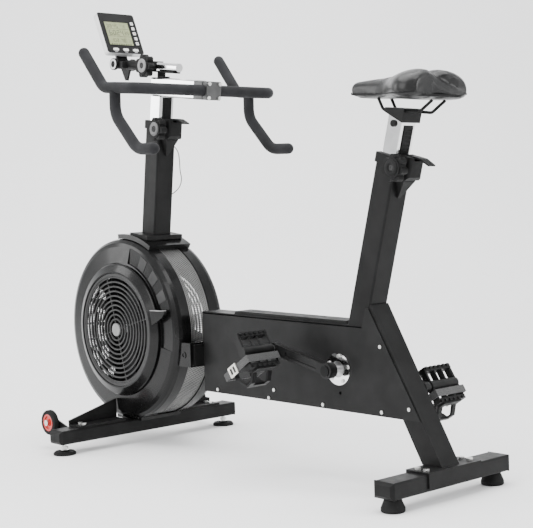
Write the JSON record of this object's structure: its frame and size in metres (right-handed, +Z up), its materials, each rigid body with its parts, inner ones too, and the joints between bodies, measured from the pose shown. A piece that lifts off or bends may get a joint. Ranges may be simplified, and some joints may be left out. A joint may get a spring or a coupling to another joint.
{
  "type": "air bike",
  "caption": "Upright air bike with a caged front fan, belt drive, cranks with toe-clip pedals, padded saddle and multi-grip handlebar on rack-adjusted posts, and a tilting console.",
  "frame": {"origin": "on the floor under the middle of the bike's bounding box", "axes": "+Z up, -X towards the fan, -Y the rider's left"},
  "size_m": [1.398, 0.6318, 1.2349],
  "materials": {
    "frame_paint": "satin black powder coat",
    "black_plastic": "moulded black",
    "rubber": "matte black",
    "zinc": "zinc plated",
    "gloss_shell": "high gloss black",
    "mesh_paint": "light perforated metal",
    "grille_plastic": "grey on black",
    "chrome": "polished",
    "cable_sheath": "black sheath",
    "steel": "machined",
    "arm_paint": "satin black forging",
    "aluminium": "mill finish",
    "vinyl": "glossy black vinyl",
    "foam": "matte dark grey foam",
    "lcd": "grey green display",
    "key": "light keys"
  },
  "bodies": {
    "frame": {"front_bar": "frame_paint", "rear_bar": "frame_paint", "bar_caps": "black_plastic", "feet": "rubber", "bar_brackets": "frame_paint", "fasteners": "zinc", "rear_leg": "frame_paint", "seat_tube": "frame_paint", "main_box": "frame_paint", "side_panel_left": "frame_paint", "side_panel_right": "frame_paint", "front_post": "frame_paint", "cage_shell_left": "gloss_shell", "cage_shell_right": "gloss_shell", "cage_mesh_band": "mesh_paint", "grilles": "grille_plastic", "covers": "gloss_shell", "bearing_units": "chrome", "drive_belts": "rubber", "seat_collar": "black_plastic", "front_collar": "black_plastic", "sensor_cable": "cable_sheath"},
    "transport_wheel_left": {"wheel_left": "rubber"},
    "transport_wheel_right": {"wheel_right": "rubber"},
    "crank": {"crank_axle": "steel", "crank_pulley": "black_plastic", "crank_arm_left": "arm_paint", "crank_arm_right": "arm_paint"},
    "left_pedal": {"pedal_left": "black_plastic", "toe_clip_left": "black_plastic"},
    "right_pedal": {"pedal_right": "black_plastic", "toe_clip_right": "black_plastic"},
    "fan": {"fan_rotor": "aluminium"},
    "layshaft": {"jackshaft": "steel"},
    "damper": {"damper_ring": "gloss_shell"},
    "seat_mast": {"seat_post": "chrome", "seat_carriage": "frame_paint"},
    "seat_unit": {"saddle": "vinyl", "saddle_frame": "black_plastic"},
    "seat_pinion": {"seat_knob": "black_plastic"},
    "seat_lock": {"seat_lever": "black_plastic"},
    "bar_mast": {"bar_post": "chrome", "stem": "chrome", "handlebar_tube": "frame_paint", "grips": "foam", "console_arm": "frame_paint"},
    "front_pinion": {"front_knob": "black_plastic"},
    "front_lock": {"front_lever": "black_plastic"},
    "console": {"console_bracket": "frame_paint", "console_housing": "black_plastic", "console_screen": "lcd"},
    "console_clamp": {"console_knob": "black_plastic"},
    "side_button_1": {"key_side_1": "key"},
    "side_button_2": {"key_side_2": "key"},
    "side_button_3": {"key_side_3": "key"},
    "side_button_4": {"key_side_4": "key"},
    "side_button_5": {"key_side_5": "key"},
    "lower_button_1": {"key_lower_1": "key"},
    "lower_button_2": {"key_lower_2": "key"},
    "lower_button_3": {"key_lower_3": "key"}
  },
  "joints": [
    {"name": "crank_spin", "type": "hinge", "parent": "frame", "child": "crank", "pos_m": [0.3705, 0, 0.272], "axis": [0, 1, 0], "continuous": true},
    {"name": "fan_spin", "type": "hinge", "parent": "frame", "child": "fan", "pos_m": [-0.4455, 0, 0.328], "axis": [0, 1, 0], "continuous": true},
    {"name": "layshaft_spin", "type": "hinge", "parent": "frame", "child": "layshaft", "pos_m": [-0.0435, 0, 0.249], "axis": [0, 1, 0], "continuous": true},
    {"name": "left_pedal_spin", "type": "hinge", "parent": "crank", "child": "left_pedal", "pos_m": [0.20676, -0.15, 0.31772], "axis": [0, 1, 0], "continuous": true},
    {"name": "right_pedal_spin", "type": "hinge", "parent": "crank", "child": "right_pedal", "pos_m": [0.53424, 0.15, 0.22628], "axis": [0, 1, 0], "continuous": true},
    {"name": "wheel_left_spin", "type": "hinge", "parent": "frame", "child": "transport_wheel_left", "pos_m": [-0.5535, -0.266, 0.075], "axis": [0, 1, 0], "continuous": true},
    {"name": "wheel_right_spin", "type": "hinge", "parent": "frame", "child": "transport_wheel_right", "pos_m": [-0.5535, 0.266, 0.075], "axis": [0, 1, 0], "continuous": true},
    {"name": "damper_turn", "type": "hinge", "parent": "frame", "child": "damper", "pos_m": [-0.4455, -0.1, 0.328], "axis": [0, -1, 0], "range_deg": [0, 50]},
    {"name": "seat_height", "type": "slide", "parent": "frame", "child": "seat_mast", "axis": [0.2694, 0, 0.963], "range_m": [-0.055, 0.12]},
    {"name": "saddle_fore_aft", "type": "slide", "parent": "seat_mast", "child": "seat_unit", "axis": [0.9918, 0, -0.1277], "range_m": [-0.03, 0.003]},
    {"name": "seat_knob_turn", "type": "hinge", "parent": "frame", "child": "seat_pinion", "pos_m": [0.58131, -0.047, 0.74457], "axis": [0, 1, 0], "range_deg": [-165, 348]},
    {"name": "seat_lever_turn", "type": "hinge", "parent": "frame", "child": "seat_lock", "pos_m": [0.59132, 0, 0.76773], "axis": [0, -1, 0], "range_deg": [0, 20]},
    {"name": "bar_height", "type": "slide", "parent": "frame", "child": "bar_mast", "axis": [0.1314, 0, 0.9913], "range_m": [-0.05, 0.08]},
    {"name": "front_knob_turn", "type": "hinge", "parent": "frame", "child": "front_pinion", "pos_m": [-0.29299, -0.047, 0.88496], "axis": [0, 1, 0], "range_deg": [-150, 234]},
    {"name": "front_lever_turn", "type": "hinge", "parent": "frame", "child": "front_lock", "pos_m": [-0.28633, 0, 0.90929], "axis": [0, -1, 0], "range_deg": [0, 20]},
    {"name": "console_tilt", "type": "hinge", "parent": "bar_mast", "child": "console", "pos_m": [-0.5052, 0, 1.08457], "axis": [0, 1, 0], "range_deg": [-25, 20]},
    {"name": "console_knob_turn", "type": "hinge", "parent": "bar_mast", "child": "console_clamp", "pos_m": [-0.3565, -0.033, 1.06486], "axis": [0, 1, 0], "range_deg": [0, 180]},
    {"name": "side_button_1_press", "type": "slide", "parent": "console", "child": "side_button_1", "axis": [-0.9198, 0, -0.3923], "range_m": [0, 0.0012], "stiffness_N_per_m": 800},
    {"name": "side_button_2_press", "type": "slide", "parent": "console", "child": "side_button_2", "axis": [-0.9198, 0, -0.3923], "range_m": [0, 0.0012], "stiffness_N_per_m": 800},
    {"name": "side_button_3_press", "type": "slide", "parent": "console", "child": "side_button_3", "axis": [-0.9198, 0, -0.3923], "range_m": [0, 0.0012], "stiffness_N_per_m": 800},
    {"name": "side_button_4_press", "type": "slide", "parent": "console", "child": "side_button_4", "axis": [-0.9198, 0, -0.3923], "range_m": [0, 0.0012], "stiffness_N_per_m": 800},
    {"name": "side_button_5_press", "type": "slide", "parent": "console", "child": "side_button_5", "axis": [-0.9198, 0, -0.3923], "range_m": [0, 0.0012], "stiffness_N_per_m": 800},
    {"name": "lower_button_1_press", "type": "slide", "parent": "console", "child": "lower_button_1", "axis": [-0.9198, 0, -0.3923], "range_m": [0, 0.0012], "stiffness_N_per_m": 800},
    {"name": "lower_button_2_press", "type": "slide", "parent": "console", "child": "lower_button_2", "axis": [-0.9198, 0, -0.3923], "range_m": [0, 0.0012], "stiffness_N_per_m": 800},
    {"name": "lower_button_3_press", "type": "slide", "parent": "console", "child": "lower_button_3", "axis": [-0.9198, 0, -0.3923], "range_m": [0, 0.0012], "stiffness_N_per_m": 800}
  ],
  "couplings": [
    {"joint": "layshaft_spin", "follows": "crank_spin", "ratio": 5},
    {"joint": "fan_spin", "follows": "crank_spin", "ratio": 7.1429},
    {"joint": "seat_knob_turn", "follows": "seat_height", "rad_per_m": 50},
    {"joint": "front_knob_turn", "follows": "bar_height", "rad_per_m": 50}
  ]
}
